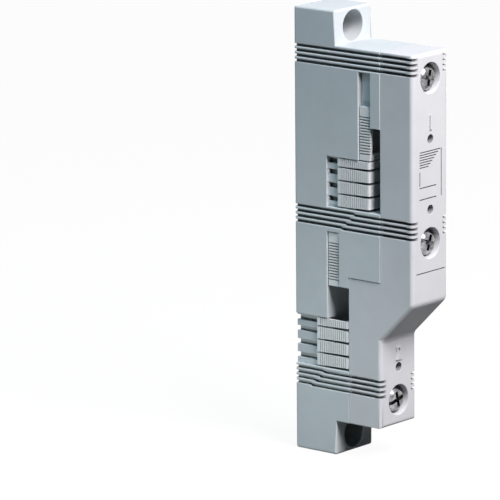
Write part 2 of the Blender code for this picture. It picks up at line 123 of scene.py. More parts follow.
# Grooves across the sides
GROOVE_COUNT = 4
GROOVE_PITCH = 1.92 * MM
GROOVE_HALF_HEIGHT = 0.5 * MM
GROOVE_DEPTH = 1.7 * MM
GROOVE_ROUNDING = 0.36 * MM
GROOVE_CORNER_DEPTH = 1.1 * MM
GROOVE_CORNER_STEPS = 6
GROOVE_FADE = 1.5 * MM
GROOVE_FADE_SHARES = (0.35, 0.7, 1.05)
GROOVE_JOG = 0.45 * MM
JOG_DEPTH = 27.7 * MM
TOP_BAND = 68.8 * MM
MIDDLE_BAND = 8.4 * MM
BANDS = {
    "top": (TOP_BAND, None),
    "middle": (MIDDLE_BAND, JOG_DEPTH),
    "bottom": (MIDDLE_BAND - POLE_PITCH, JOG_DEPTH - POLE_STEP),
}

# Holes and hollows
SCREW_HEIGHTS = {"top": POLE_PITCH, "middle": 0.0, "bottom": -POLE_PITCH}
RECESS_RADIUS = 5.3 * MM
RECESS_MOUTH_RADIUS = 6.0 * MM
RECESS_MOUTH_DEPTH = 1.6 * MM
RECESS_DEPTH = 5.1 * MM
SHANK_HOLE_RADIUS = 2.8 * MM
INSERT_HOLE_RADIUS = 3.8 * MM
INSERT_HOLE_DEPTH = 8.6 * MM
LUG_HOLE_HEIGHT = 76.5 * MM
LUG_HOLE_RADIUS = 3.2 * MM
LUG_SEAT_RADIUS = 5.8 * MM
LUG_SEAT_DEPTH = 6.0 * MM
PROBE_RADIUS = 1.7 * MM
PROBE_HEIGHTS = (38.5 * MM, 12.4 * MM, -48.6 * MM)
COVER_SIDE_WALL = 2.0 * MM
COVER_FRONT_WALL = 2.4 * MM
COVER_CELL_HEIGHT = 9.6 * MM
COVER_CELL_PITCH = 11.4 * MM
COVER_CELLS = {"upper": (4, 10.0 * MM), "lower": (3, 9.6 * MM)}
CORE_HALF_WIDTH = 7.3 * MM
CORE_HEIGHT = 10.0 * MM
CORE_PITCH = 12.2 * MM
CORE_DEPTH = 11.0 * MM
FIRST_CORE = 6.0 * MM
CORES_ABOVE = 5
CORES_BELOW = 2
BOTTOM_CORE = -67.0 * MM

# Marks on the front: a plain scale of stepped lines, a line above a bare field, and plain numerals
MARK_WIDTH = 0.4 * MM
MARK_DEPTH = 0.45 * MM
SCALE_LINES = 7
SCALE_TOP = 34.2 * MM
SCALE_PITCH = 0.93 * MM
SCALE_LEFT = -6.2 * MM
SCALE_LENGTH = 11.8 * MM
SCALE_STEP = 1.15 * MM
SCALE_BASE = 21.1 * MM
SCALE_EDGE = 5.8 * MM
SCALE_BOTTOM = 16.8 * MM
FIELD_LINE_HEIGHT = -10.6 * MM
FIELD_LINE_HALF_LENGTH = 8.2 * MM
NUMERALS = {"1": 44.4 * MM, "2": -43.4 * MM}
NUMERAL_SIZE = 7.4 * MM
NUMERAL_HEIGHT = 0.5 * MM
NUMERAL_WEIGHT = 0.14 * MM
NUMERAL_EDGE = 0.04 * MM

# Small parts
BLOCK_CORNER = 0.8 * MM
BLOCK_TAPER = 0.4 * MM
BLOCK_LINE_PITCH = 0.9 * MM
BLOCK_LINE_WIDTH = 0.36 * MM
BLOCK_LINE_DEPTH = 0.3 * MM
BLOCK_LINE_MARGIN = 1.5 * MM
SLIDE_EDGE = 0.1 * MM
HEAD_RADIUS = 4.8 * MM
HEAD_HEIGHT = 3.2 * MM
HEAD_EDGE = 1.9 * MM
HEAD_SHOULDER = 1.3 * MM
SHANK_RADIUS = 2.45 * MM
SHANK_LENGTH = 17.4 * MM
THREAD_PITCH = 0.8 * MM
THREAD_DEPTH = 0.42 * MM
THREAD_START = 1.6 * MM
THREAD_STEPS = 8
TIP_CHAMFER = 0.7 * MM
SLOT_HALF_LENGTH = 5.5 * MM
SLOT_HALF_WIDTH = 0.65 * MM
SLOT_DEPTH = 1.5 * MM
CROSS_HALF_LENGTH = 3.0 * MM
CROSS_HALF_WIDTH = 0.75 * MM
CROSS_DEPTH = 2.4 * MM
CROSS_TAPER = 0.6
KNURL_DEPTH = 0.18 * MM

# Where each screw came to rest, in degrees
SCREW_TURNS = {"top": 12, "middle": 20, "bottom": -14}

# Shares of an insert's length, and whether it is turned down below the knurls there
KNURL_STATIONS = (
    (0.0, True),
    (0.06, False),
    (0.4, False),
    (0.44, True),
    (0.56, True),
    (0.6, False),
    (0.94, False),
    (1.0, True),
)

# Mesh making
PAST = 2.0 * MM
OVERLAP = 0.5 * MM
ROUND_STEPS = 48
ARC_STEPS = 4
WELD = 0.0005 * MM
FLAT_ANGLE = math.radians(0.3)
SHARP_ANGLE = math.radians(38)
CORNER_ANGLE = math.radians(60)

# Each pole's shift in height and depth, and where its chamber starts
POLES = {"upper": (0.0, 0.0), "lower": (-POLE_PITCH, -POLE_STEP)}
CHAMBER_REARS = {"upper": CHAMBER_REAR, "lower": -PAST}

# Noise patterns as scale per metre and detail, and the part of the noise that is used
CLOUDS = (90, 3)
GRAIN = (3200, 2)
WAVES = (240, 1)
SCRATCHES = (2600, 3)
PATCHES = (420, 2)
NOISE_LOW = 0.3
NOISE_HIGH = 0.7

# Finishes. A bump is a strength and a distance; a painted shade is the reach of a hollow and the open
# shares at which the painted shade is darkest and gone
DARK_TINT = 0.965
LIGHT_TINT = 1.02
GRAIN_BUMP = (0.16, 0.06 * MM)
WAVE_BUMP = (0.05, 0.1 * MM)
PLASTIC_GLOSS_SPREAD = 0.05
PLASTIC_SPECULAR = 0.1
PLASTIC_PAINTED_SHADE_FLOOR = 0.05
SCRATCH_STRETCH = (1, 1, 6)
SCRATCH_BUMP = (0.12, 0.03 * MM)
METAL_GLOSS_BELOW = 0.06
METAL_GLOSS_ABOVE = 0.08
METAL_PAINTED_SHADE = (2.0 * MM, 0.04, 0.7)
METAL_PAINTED_SHADE_FLOOR = 0.02

# Colour, roughness and painted hollow shade
PLASTICS = {
    "base_plastic": ((0.600, 0.640, 0.665), 0.52, (9 * MM, 0.10, 0.39)),
    "cover_plastic": ((0.640, 0.650, 0.680), 0.52, (6 * MM, 0.04, 0.85)),
    "slider_plastic": ((0.83, 0.84, 0.85), 0.55, (2 * MM, 0.04, 0.8)),
}

# Dark tone, light tone and roughness
METALS = {
    "plated_steel": ((0.10, 0.105, 0.12), (0.50, 0.50, 0.51), 0.18),
    "turned_brass": ((0.62, 0.44, 0.19), (0.76, 0.57, 0.27), 0.3),
}

# Camera fitted to the straight edges of the photograph
CAMERA_TARGET = Vector((-36.50, 0.0, -3.75)) * MM
CAMERA_DISTANCE = 1.942
CAMERA_AZIMUTH = math.radians(-50.086)
CAMERA_ELEVATION = math.radians(12.462)
CAMERA_ROLL = math.radians(-0.45)
CAMERA_LENS = 382.9
CAMERA_SENSOR = 36.0
CAMERA_REACH = 50.0

# Light from all round, and the floor
WORLD_COLOUR = (0.70, 0.90, 1.0)
WORLD_LEVEL = 0.03
FLOOR_SIZE = 12.0
FLOOR_GAP = 0.2 * MM
FLOOR_COLOUR = (0.06, 0.06, 0.06)
FLOOR_GLOW = 0.95

# Each lamp's place, size, power, colour and how often its light is passed on. The back lamp is for the
# sides that the photograph hides
LAMPS = {
    "key": (Vector((-0.125, -0.62, 0.64)), 0.4, 12.9, (1.0, 0.968, 0.97), 1),
    "fill": (Vector((-0.58, -0.02, 0.72)), 0.4, 1.5, (0.34, 0.76, 1.0), 1),
    "low fill": (Vector((-0.12, -0.02, -0.07)), 0.02, 0.042, (0.92, 1.0, 0.97), 1),
    "back": (Vector((1.5, 1.35, 0.0)), 0.1, 26.0, (1.0, 1.0, 1.0), 0),
}


def new_object(name, bm):
    mesh = bpy.data.meshes.new(name)
    bm.to_mesh(mesh)
    bm.free()
    obj = bpy.data.objects.new(name, mesh)
    bpy.context.scene.collection.objects.link(obj)
    return obj


def at(x, depth, z):
    """A point given by its depth in front of the mounting face."""
    return Vector((x, -depth, z))


def arc(steps=ARC_STEPS):
    """Angles of a quarter turn."""
    return [math.pi / 2 * step / steps for step in range(steps + 1)]


def loft_bmesh(rings, closed=False):
    """Skins rings of points in a row. The ends are capped, or joined to each other if it is closed."""
    bm = bmesh.new()
    loops = [[bm.verts.new(point) for point in ring] for ring in rings]
    pairs = list(zip(loops, loops[1:]))
    if closed:
        pairs.append((loops[-1], loops[0]))
    for first, second in pairs:
        for index, corner in enumerate(first):
            following = (index + 1) % len(first)
            bm.faces.new((corner, first[following], second[following], second[index]))
    if not closed:
        bm.faces.new(reversed(loops[0]))
        bm.faces.new(loops[-1])
    bmesh.ops.recalc_face_normals(bm, faces=bm.faces)
    if bm.calc_volume(signed=True) < 0:
        bmesh.ops.reverse_faces(bm, faces=bm.faces)
    return bm


def loft(name, rings, closed=False):
    return new_object(name, loft_bmesh(rings, closed))


def mouth_stations(inner, mouth, rounding, outer):
    """Pairs of (distance, widening) of a cutter whose mouth rounds off the edge it leaves by."""
    sign = 1 if mouth > inner else -1
    stations = [(inner, 0.0)]
    for angle in arc():
        distance = mouth - sign * rounding * (1 - math.sin(angle))
        stations.append((distance, rounding * (1 - math.cos(angle))))
    stations.append((outer, rounding))
    return stations


def side_cutter(name, inner, mouth, low, high, rounding=MOUTH_ROUNDING):
    """Boxes out of both sides, between two (depth, z) corners, with rounded mouths."""
    made = []
    for side in (-1, 1):
        rings = []
        for x, wide in mouth_stations(inner, mouth, rounding, mouth + PAST):
            corners = (
                (low[0] - wide, low[1] - wide),
                (high[0] + wide, low[1] - wide),
                (high[0] + wide, high[1] + wide),
                (low[0] - wide, high[1] + wide),
            )
            rings.append([at(side * x, depth, z) for depth, z in corners])
        made.append(loft(name, rings))
    return made


def depth_cutter(name, half_width, z_low, z_high, inner, mouth, rounding):
    """A box along the depth, with a rounded mouth where it leaves the surface."""
    outer = mouth + (PAST if mouth > inner else -PAST)
    rings = []
    for depth, wide in mouth_stations(inner, mouth, rounding, outer):
        x = half_width + wide
        corners = ((-x, z_low - wide), (x, z_low - wide), (x, z_high + wide), (-x, z_high + wide))
        rings.append([at(u, depth, z) for u, z in corners])
    return loft(name, rings)


def plain_box(name, low, high):
    rings = []
    for x in (low[0], high[0]):
        corners = ((low[1], low[2]), (high[1], low[2]), (high[1], high[2]), (low[1], high[2]))
        rings.append([at(x, depth, z) for depth, z in corners])
    return loft(name, rings)


def ring_points(radii, depth, z):
    """A ring round the depth axis, with a radius for each step of the turn."""
    turns = [2 * math.pi * step / ROUND_STEPS for step in range(ROUND_STEPS)]
    return [
        at(radius * math.cos(turn), depth, z + radius * math.sin(turn))
        for turn, radius in zip(turns, radii)
    ]


def turned_rings(profile, z):
    """Round rings along the depth from (depth, radius) pairs."""
    return [ring_points([radius] * ROUND_STEPS, depth, z) for depth, radius in profile]


def round_mouth(radius, inner, mouth, rounding):
    """A (depth, radius) profile of a round hole whose mouth is rounded off."""
    outer = mouth + (PAST if mouth > inner else -PAST)
    return [(depth, radius + wide) for depth, wide in mouth_stations(inner, mouth, rounding, outer)]


def cover_front(z):
    """Depth of the cover's front at a height, which drops by one step along the slope."""
    share = (SLOPE_TOP - z) / (SLOPE_TOP - SLOPE_BOTTOM)
    return COVER_FRONT - POLE_STEP * min(max(share, 0.0), 1.0)


def groove_section(half_width):
    """Half a groove's section as (across, up) pairs from its floor to its rounded mouth."""
    section = [(half_width - GROOVE_DEPTH, GROOVE_HALF_HEIGHT)]
    for across, wide in mouth_stations(0, half_width, GROOVE_ROUNDING, half_width + PAST)[1:]:
        section.append((across, GROOVE_HALF_HEIGHT + wide))
    return section


def groove_ring(section, half_width, place, outward, z, side, shift=0.0):
    """A groove's section set up at a point of the outline, facing outward and moved out by a shift."""
    points = [(across - half_width + shift, up) for across, up in section]
    points += [(across, -up) for across, up in reversed(points)]
    return [
        at(side * (place[0] + across * outward[0]), place[1] + across * outward[1], z + up)
        for across, up in points
    ]


def base_groove(name, z, jog, side):
    """A groove from the rear face to the seam, with a small step down on its way."""
    half_width = BASE_HALF_WIDTH
    stations = [(-PAST, z), (BASE_FRONT + PAST, z)]
    if jog:
        stations[:1] = [(-PAST, z + GROOVE_JOG), (jog, z + GROOVE_JOG), (jog + GROOVE_JOG, z)]
    section = groove_section(half_width)
    rings = [
        groove_ring(section, half_width, (half_width, depth), (1, 0), height, side)
        for depth, height in stations
    ]
    return loft(name, rings)


def cover_groove(name, z, side):
    """A groove from the seam round the rounded front edge, fading out on the front."""
    half_width, front = COVER_HALF_WIDTH, cover_front(z)
    section = groove_section(half_width)
    corner = half_width - COVER_ROUNDING
    shallow = GROOVE_DEPTH - GROOVE_CORNER_DEPTH
    rings = [
        groove_ring(section, half_width, (half_width, front - COVER_FRONT), (1, 0), z, side),
        groove_ring(section, half_width, (half_width, front - 2 * COVER_ROUNDING), (1, 0), z, side),
    ]
    for angle in arc(GROOVE_CORNER_STEPS):
        outward = (math.cos(angle), math.sin(angle))
        depth = front - COVER_ROUNDING + COVER_ROUNDING * outward[1]
        place = (corner + COVER_ROUNDING * outward[0], depth)
        rings.append(groove_ring(section, half_width, place, outward, z, side, shallow))
    for share in GROOVE_FADE_SHARES:
        place = (corner - GROOVE_FADE * share, front)
        shift = shallow + GROOVE_CORNER_DEPTH * share ** 2
        rings.append(groove_ring(section, half_width, place, (0, 1), z, side, shift))
    bm = loft_bmesh(rings)
    bmesh.ops.triangulate(bm, faces=bm.faces)
    return new_object(name, bm)


def grooves(make):
    """All the grooves of both sides, each made from its name, height, jog and side."""
    made = []
    for band, (first, jog) in BANDS.items():
        for index in range(GROOVE_COUNT):
            drop = index * GROOVE_PITCH
            for side in (-1, 1):
                made.append(make(f"{band}_groove_{index + 1}", first - drop, jog and jog - drop, side))
    return made


def add_boolean(target, operation):
    modifier = target.modifiers.new("boolean", "BOOLEAN")
    modifier.operation = operation
    modifier.solver = "EXACT"
    return modifier


def carve(target, cutters):
    """Takes all the cutters out of the target in one Boolean and leaves a plain, clean mesh."""
    group = bpy.data.collections.new("cutters")
    bpy.context.scene.collection.children.link(group)
    for cutter in cutters:
        bpy.context.scene.collection.objects.unlink(cutter)
        group.objects.link(cutter)
    modifier = add_boolean(target, "DIFFERENCE")
    modifier.operand_type = "COLLECTION"
    modifier.collection = group
    settle(target)
    for cutter in cutters:
        bpy.data.objects.remove(cutter)
    bpy.data.collections.remove(group)


def evaluated_mesh(obj):
    """A plain mesh of an object, as its modifiers or its curve make it."""
    graph = bpy.context.evaluated_depsgraph_get()
    return bpy.data.meshes.new_from_object(obj.evaluated_get(graph))


def welded(mesh):
    """A bmesh of a mesh, with points at the same place joined."""
    bm = bmesh.new()
    bm.from_mesh(mesh)
    bmesh.ops.remove_doubles(bm, verts=bm.verts, dist=WELD)
    return bm


def settle(obj):
    """Applies an object's modifiers and welds its mesh."""
    mesh = evaluated_mesh(obj)
    obj.modifiers.clear()
    bm = welded(mesh)
    bpy.data.meshes.remove(mesh)
    bmesh.ops.dissolve_degenerate(bm, edges=bm.edges, dist=WELD)
    bm.to_mesh(obj.data)
    bm.free()


def round_edges(bm, chosen, width, segments):
    edges = [edge for edge in bm.edges if chosen(edge)]
    bmesh.ops.bevel(
        bm, geom=edges, offset=width, offset_type="OFFSET", segments=segments, profile=0.5, affect="EDGES"
    )


def corner_edge(edge):
    """Whether an edge is an outer corner of about a right angle."""
    return edge.is_convex and edge.calc_face_angle() > CORNER_ANGLE


def shell(outline, half_width):
    """A (depth, z) outline extruded across the width."""
    return loft_bmesh([[at(x, depth, z) for depth, z in outline] for x in (-half_width, half_width)])


def base_shell():
    outline = [
        (0, -HALF_HEIGHT),
        (LUG_DEPTH, -HALF_HEIGHT),
        (LUG_DEPTH, -BODY_HALF_HEIGHT),
        (BASE_FRONT - POLE_STEP, -BODY_HALF_HEIGHT),
        (BASE_FRONT - POLE_STEP, STEP_HEIGHT),
        (BASE_FRONT, STEP_HEIGHT),
        (BASE_FRONT, BODY_HALF_HEIGHT),
        (LUG_DEPTH, BODY_HALF_HEIGHT),
        (LUG_DEPTH, HALF_HEIGHT),
        (0, HALF_HEIGHT),
    ]
    bm = shell(outline, BASE_HALF_WIDTH)

    def on_lug(edge):
        heights = [abs(vert.co.z) for vert in edge.verts]
        depths = [-vert.co.y for vert in edge.verts]
        end_face = min(heights) > HALF_HEIGHT - OVERLAP
        return end_face or max(heights) > HALF_HEIGHT - OVERLAP and min(depths) > LUG_DEPTH - OVERLAP

    round_edges(bm, on_lug, LUG_ROUNDING, LUG_ROUNDING_STEPS)
    return new_object("base_moulding", bm)


def edge_trims(half_width, start, end):
    """Cutters that round off the upper and lower edges of the sides between two depths."""
    middle_x, middle_z = half_width - EDGE_ROUNDING, BODY_HALF_HEIGHT - EDGE_ROUNDING
    far_x, far_z = half_width + PAST, BODY_HALF_HEIGHT + PAST
    section = [
        (middle_x + EDGE_ROUNDING * math.cos(angle), middle_z + EDGE_ROUNDING * math.sin(angle))
        for angle in arc()
    ]
    section += [(middle_x, far_z), (far_x, far_z), (far_x, middle_z)]
    made = []
    for side in (-1, 1):
        for up in (-1, 1):
            rings = [[at(side * x, depth, up * z) for x, z in section] for depth in (start, end)]
            made.append(loft("edge_trim", rings))
    return made


def pole_cutters(pole):
    """The bar slot, the slide pocket and the step blocks' chamber of one pole."""
    dz, dd = POLES[pole]
    side, front, rear = BASE_HALF_WIDTH, BASE_FRONT + PAST + dd, CHAMBER_REARS[pole]
    slot_low, slot_high = (POCKET_REAR + dd, CHAMBER_TOP - OVERLAP + dz), (front, SLOT_TOP + dz)
    pocket_high = (POCKET_FRONT + dd, POCKET_TOP + dz)
    floor, top = CHAMBER_FLOOR + dz, CHAMBER_TOP + dz
    made = side_cutter("slot", -OVERLAP, side, slot_low, slot_high)
    made += side_cutter("leg_pocket", GUIDE_HALF_WIDTH, side, slot_low, pocket_high)
    made += side_cutter("chamber_side", RAIL_HALF_WIDTH, side, (rear, floor), (front, top))
    made.append(plain_box("chamber_front", (-side, WEB_FRONT + dd, floor), (side, front, top)))
    inner = GUIDE_HALF_WIDTH + OVERLAP
    low, high = SLOT_TOP - OVERLAP + dz, BOSS_BOTTOM + dz
    made.append(plain_box("pocket", (-inner, GUIDE_FRONT + dd, low), (inner, POCKET_FRONT + dd, high)))
    for index in range(1, BLOCK_COUNT + 1):
        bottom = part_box(f"{pole}_block_{index}")[0].z
        low = bottom + (TOP_TONGUE_RISE if index == 1 else TONGUE_RISE) - RAIL_GROOVE_HEIGHT / 2
        corners = ((rear, low), (WEB_FRONT + OVERLAP + dd, low + RAIL_GROOVE_HEIGHT))
        made += side_cutter(
            "rail_groove", RAIL_GROOVE_HALF_WIDTH, RAIL_HALF_WIDTH, *corners, rounding=SMALL_ROUNDING
        )
    return made


def base_holes():
    """Lug holes, insert holes and the hollows in the mounting face."""
    made = []
    for z in (-LUG_HOLE_HEIGHT, LUG_HOLE_HEIGHT):
        seat = round_mouth(LUG_SEAT_RADIUS, LUG_SEAT_DEPTH, LUG_DEPTH, MOUTH_ROUNDING)
        hole = round_mouth(LUG_HOLE_RADIUS, LUG_SEAT_DEPTH + PAST, 0.0, MOUTH_ROUNDING)
        made += [loft("lug_seat", turned_rings(seat, z)), loft("lug_hole", turned_rings(hole, z))]
    for place, z in SCREW_HEIGHTS.items():
        face = cover_front(z) - COVER_FRONT + BASE_FRONT
        hole = round_mouth(INSERT_HOLE_RADIUS, face - INSERT_HOLE_DEPTH, face, SMALL_ROUNDING)
        made.append(loft(f"{place}_insert_hole", turned_rings(hole, z)))
    lows = [FIRST_CORE + index * CORE_PITCH for index in range(CORES_ABOVE)]
    lows += [-FIRST_CORE - CORE_HEIGHT - index * CORE_PITCH for index in range(CORES_BELOW)]
    lows.append(BOTTOM_CORE)
    for low in lows:
        high = low + CORE_HEIGHT
        made.append(depth_cutter("core", CORE_HALF_WIDTH, low, high, CORE_DEPTH, 0.0, MOUTH_ROUNDING))
    return made


def make_base():
    base = base_shell()
    cutters = pole_cutters("upper") + pole_cutters("lower") + base_holes() + grooves(base_groove)
    cutters += edge_trims(BASE_HALF_WIDTH, LUG_DEPTH + SEAM_SHOWN, BASE_FRONT + PAST)
    carve(base, cutters)
    return base


def cover_shell():
    lower_front = COVER_FRONT - POLE_STEP
    outline = [
        (COVER_REAR, BODY_HALF_HEIGHT),
        (COVER_FRONT, BODY_HALF_HEIGHT),
        (COVER_FRONT, SLOPE_TOP),
        (lower_front, SLOPE_BOTTOM),
        (lower_front, -BODY_HALF_HEIGHT),
        (COVER_REAR - POLE_STEP, -BODY_HALF_HEIGHT),
        (COVER_REAR - POLE_STEP, STEP_HEIGHT - SEAM_GAP),
        (COVER_REAR, STEP_HEIGHT - SEAM_GAP),
    ]
    bm = shell(outline, COVER_HALF_WIDTH)

    def on_front(edge):
        return all(-vert.co.y > cover_front(vert.co.z) - OVERLAP for vert in edge.verts)

    round_edges(bm, on_front, COVER_ROUNDING, COVER_ROUNDING_STEPS)
    round_edges(bm, corner_edge, SMALL_ROUNDING, SMALL_ROUNDING_STEPS)
    return new_object("cover_moulding", bm)


def cover_cells():
    inner = COVER_HALF_WIDTH - COVER_SIDE_WALL
    made = []
    for pole, (count, lowest) in COVER_CELLS.items():
        dz, dd = POLES[pole]
        for index in range(count):
            low = lowest + dz + index * COVER_CELL_PITCH
            floor = COVER_FRONT + dd - COVER_FRONT_WALL
            high = low + COVER_CELL_HEIGHT
            made.append(depth_cutter("cell", inner, low, high, floor, COVER_REAR + dd, SMALL_ROUNDING))
    return made


def cover_holes():
    """Screw recesses with a flared mouth, shank holes and probe holes."""
    made = []
    for place, z in SCREW_HEIGHTS.items():
        front = cover_front(z)
        rear, floor = front - COVER_FRONT + COVER_REAR, front - RECESS_DEPTH
        recess = [(floor, RECESS_RADIUS), (front - RECESS_MOUTH_DEPTH, RECESS_RADIUS)]
        flare = mouth_stations(floor, front, MOUTH_ROUNDING, front + PAST)[1:]
        recess += [(depth, RECESS_MOUTH_RADIUS - MOUTH_ROUNDING + wide) for depth, wide in flare]
        made.append(loft(f"{place}_recess", turned_rings(recess, z)))
        shank = [(rear - PAST, SHANK_HOLE_RADIUS), (floor + PAST, SHANK_HOLE_RADIUS)]
        made.append(loft(f"{place}_shank_hole", turned_rings(shank, z)))
    for z in PROBE_HEIGHTS:
        front = cover_front(z)
        hole = round_mouth(PROBE_RADIUS, front - COVER_FRONT_WALL - PAST, front, SMALL_ROUNDING)
        made.append(loft("probe_hole", turned_rings(hole, z)))
    return made


def mark(start, end):
    """A cutter for a straight mark with round ends, between two (x, z) points of the upper front."""
    start, end = Vector(start), Vector(end)
    along = (end - start).normalized() * MARK_WIDTH / 2
    across = Vector((-along.y, along.x))
    outline = []
    for middle, sign in ((end, 1), (start, -1)):
        for step in range(-ARC_STEPS, ARC_STEPS + 1):
            angle = math.pi / 2 * step / ARC_STEPS
            outline.append(middle + sign * (along * math.cos(angle) + across * math.sin(angle)))
    depths = (COVER_FRONT - MARK_DEPTH, COVER_FRONT + PAST)
    return loft("mark", [[at(point.x, depth, point.y) for point in outline] for depth in depths])


def front_marks():
    """A scale of lines that grow shorter downwards, with its edges, and the line above the bare field."""
    made = []
    for index in range(SCALE_LINES):
        z, right = SCALE_TOP - index * SCALE_PITCH, SCALE_LEFT + SCALE_LENGTH - index * SCALE_STEP
        made.append(mark((SCALE_LEFT, z), (right, z)))
    short = SCALE_LEFT + SCALE_LENGTH - 2 * SCALE_STEP
    border = SCALE_LEFT + SCALE_LENGTH + 2 * MARK_WIDTH
    made += [
        mark((SCALE_LEFT, SCALE_BASE), (short, SCALE_BASE)),
        mark((SCALE_LEFT, SCALE_BASE + 2 * MARK_WIDTH), (SCALE_LEFT, SCALE_BASE + SCALE_EDGE)),
        mark((SCALE_LEFT, SCALE_BOTTOM), (short, SCALE_BOTTOM)),
        mark((border, SCALE_BOTTOM), (border, SCALE_TOP)),
        mark((-FIELD_LINE_HALF_LENGTH, FIELD_LINE_HEIGHT), (FIELD_LINE_HALF_LENGTH, FIELD_LINE_HEIGHT)),
    ]
    return made


def make_cover():
    cover = cover_shell()
    cutters = cover_cells() + cover_holes() + front_marks()
    cutters += grooves(lambda name, z, jog, side: cover_groove(name, z, side))
    cutters += edge_trims(COVER_HALF_WIDTH, 0, COVER_FRONT + PAST)
    carve(cover, cutters)
    return cover


def block_side(length):
    """One side of a block from its rear to its front as (depth, inset) pairs, with fine upright lines."""
    points = [(-length, 0.0)]
    place = -length + BLOCK_LINE_MARGIN
    while place < -BLOCK_CORNER - BLOCK_LINE_WIDTH:
        points += [
            (place - BLOCK_LINE_WIDTH / 2, 0.0),
            (place, BLOCK_LINE_DEPTH),
            (place + BLOCK_LINE_WIDTH / 2, 0.0),
        ]
        place += BLOCK_LINE_PITCH
    for angle in arc():
        points.append((-BLOCK_CORNER * (1 - math.sin(angle)), BLOCK_CORNER * (1 - math.cos(angle))))
    return points


def make_block(node):
    """A step block with lined sides, rounded front corners, a rising underside and two tongues."""
    low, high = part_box(node)
    length, half_width = high.y - low.y, high.x
    front = -low.y
    rear = front - length
    side = [(half_width - inset, front + depth) for depth, inset in block_side(length)]
    inner, wall = half_width - BLOCK_SKIRT, front - BLOCK_FRONT_WALL
    outline = side + [(-x, depth) for x, depth in reversed(side)]
    outline += [(-inner, rear), (-inner, wall), (inner, wall), (inner, rear)]
    bottom_ring = [at(x, depth, low.z + BLOCK_TAPER * (depth - rear) / length) for x, depth in outline]
    top_ring = [at(x, depth, high.z) for x, depth in outline]
    block = loft(f"{node}_moulding", [bottom_ring, top_ring])
    rise = TOP_TONGUE_RISE if node.endswith("_1") else TONGUE_RISE
    tip = RAIL_GROOVE_HALF_WIDTH + TONGUE_CLEARANCE
    bottom = low.z + rise - TONGUE_HEIGHT / 2
    for sign in (-1, 1):
        ends = sorted((sign * tip, sign * (inner + BLOCK_SKIRT / 2)))
        tongue = plain_box(
            "tongue",
            (ends[0], rear + SMALL_ROUNDING, bottom),
            (ends[1], wall + OVERLAP, bottom + TONGUE_HEIGHT),
        )
        add_boolean(block, "UNION").object = tongue
        settle(block)
        bpy.data.objects.remove(tongue)
    return block


def make_slide(node):
    """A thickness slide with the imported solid's ribs, its edges softened."""
    bm = welded(frame["nodes"][node].data)
    bmesh.ops.dissolve_limit(bm, angle_limit=FLAT_ANGLE, verts=bm.verts, edges=bm.edges)
    round_edges(bm, corner_edge, SLIDE_EDGE, SMALL_ROUNDING_STEPS)
    return new_object(f"{node}_moulding", bm)


def screw_seat(place):
    """Depth under a screw's head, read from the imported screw."""
    return -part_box(f"cover_screw_{place}")[1].y + SHANK_LENGTH


def thread_radii(distance, crest, root):
    """A thread's radii round the turn, at a distance along its axis."""
    radii = []
    for step in range(ROUND_STEPS):
        phase = (distance / THREAD_PITCH - step / ROUND_STEPS) % 1.0
        radii.append(root + (crest - root) * (1 - abs(2 * phase - 1)))
    return radii


def drive_cutters(place, top):
    """A slot across the head and a tapered cross, turned to where the screw came to rest."""
    middle = at(0, top, SCREW_HEIGHTS[place])
    turn = Matrix.Rotation(math.radians(SCREW_TURNS[place]), 4, "Y")
    made = []
    for name, long, wide, depth, taper in (
        ("slot", SLOT_HALF_LENGTH, SLOT_HALF_WIDTH, SLOT_DEPTH, 1.0),
        ("cross", CROSS_HALF_LENGTH, CROSS_HALF_WIDTH, CROSS_DEPTH, CROSS_TAPER),
        ("cross", CROSS_HALF_WIDTH, CROSS_HALF_LENGTH, CROSS_DEPTH, CROSS_TAPER),
    ):
        rings = []
        for forward, share in ((-depth, taper), (0.0, 1.0), (OVERLAP, 1.0)):
            x, up = long * share, wide * share
            corners = ((-x, -up), (x, -up), (x, up), (-x, up))
            rings.append([middle + turn @ at(u, forward, v) for u, v in corners])
        made.append(loft(name, rings))
    return made


def make_screw(place):
    """A pan head screw with a rolled thread, a slot and a cross."""
    z, seat = SCREW_HEIGHTS[place], screw_seat(place)
    tip = seat - SHANK_LENGTH
    root = SHANK_RADIUS - THREAD_DEPTH
    rings = turned_rings([(tip, SHANK_RADIUS - TIP_CHAMFER)], z)
    count = round((SHANK_LENGTH - TIP_CHAMFER - THREAD_START) / THREAD_PITCH * THREAD_STEPS)
    for step in range(count + 1):
        distance = TIP_CHAMFER + step * THREAD_PITCH / THREAD_STEPS
        rings.append(ring_points(thread_radii(distance, SHANK_RADIUS, root), tip + distance, z))
    rings += turned_rings([(seat - THREAD_START / 2, root)], z)
    profile = [
        (0.0, SHANK_RADIUS),
        (0.0, HEAD_RADIUS - SMALL_ROUNDING),
        (SMALL_ROUNDING, HEAD_RADIUS),
        (HEAD_EDGE - SMALL_ROUNDING, HEAD_RADIUS),
        (HEAD_EDGE + SMALL_ROUNDING, HEAD_RADIUS - SMALL_ROUNDING),
        (HEAD_HEIGHT - SMALL_ROUNDING, HEAD_RADIUS - HEAD_SHOULDER),
        (HEAD_HEIGHT, HEAD_RADIUS - HEAD_SHOULDER - 2 * SMALL_ROUNDING),
    ]
    rings += turned_rings([(seat + forward, radius) for forward, radius in profile], z)
    screw = loft(f"cover_screw_{place}_turned", rings)
    carve(screw, drive_cutters(place, seat + HEAD_HEIGHT))
    return screw


def make_washer(place):
    """A flat washer with rounded rims."""
    low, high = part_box(f"screw_washer_{place}")
    z, rear, front, radius = SCREW_HEIGHTS[place], -high.y, -low.y, high.x
    bore = SHANK_HOLE_RADIUS - SMALL_ROUNDING
    edge = SMALL_ROUNDING
    profile = [
        (rear, bore + edge),
        (rear, radius - edge),
        (rear + edge, radius),
        (front - edge, radius),
        (front, radius - edge),
        (front, bore + edge),
        (front - edge, bore),
        (rear + edge, bore),
    ]
    return loft(f"screw_washer_{place}_turned", turned_rings(profile, z), closed=True)


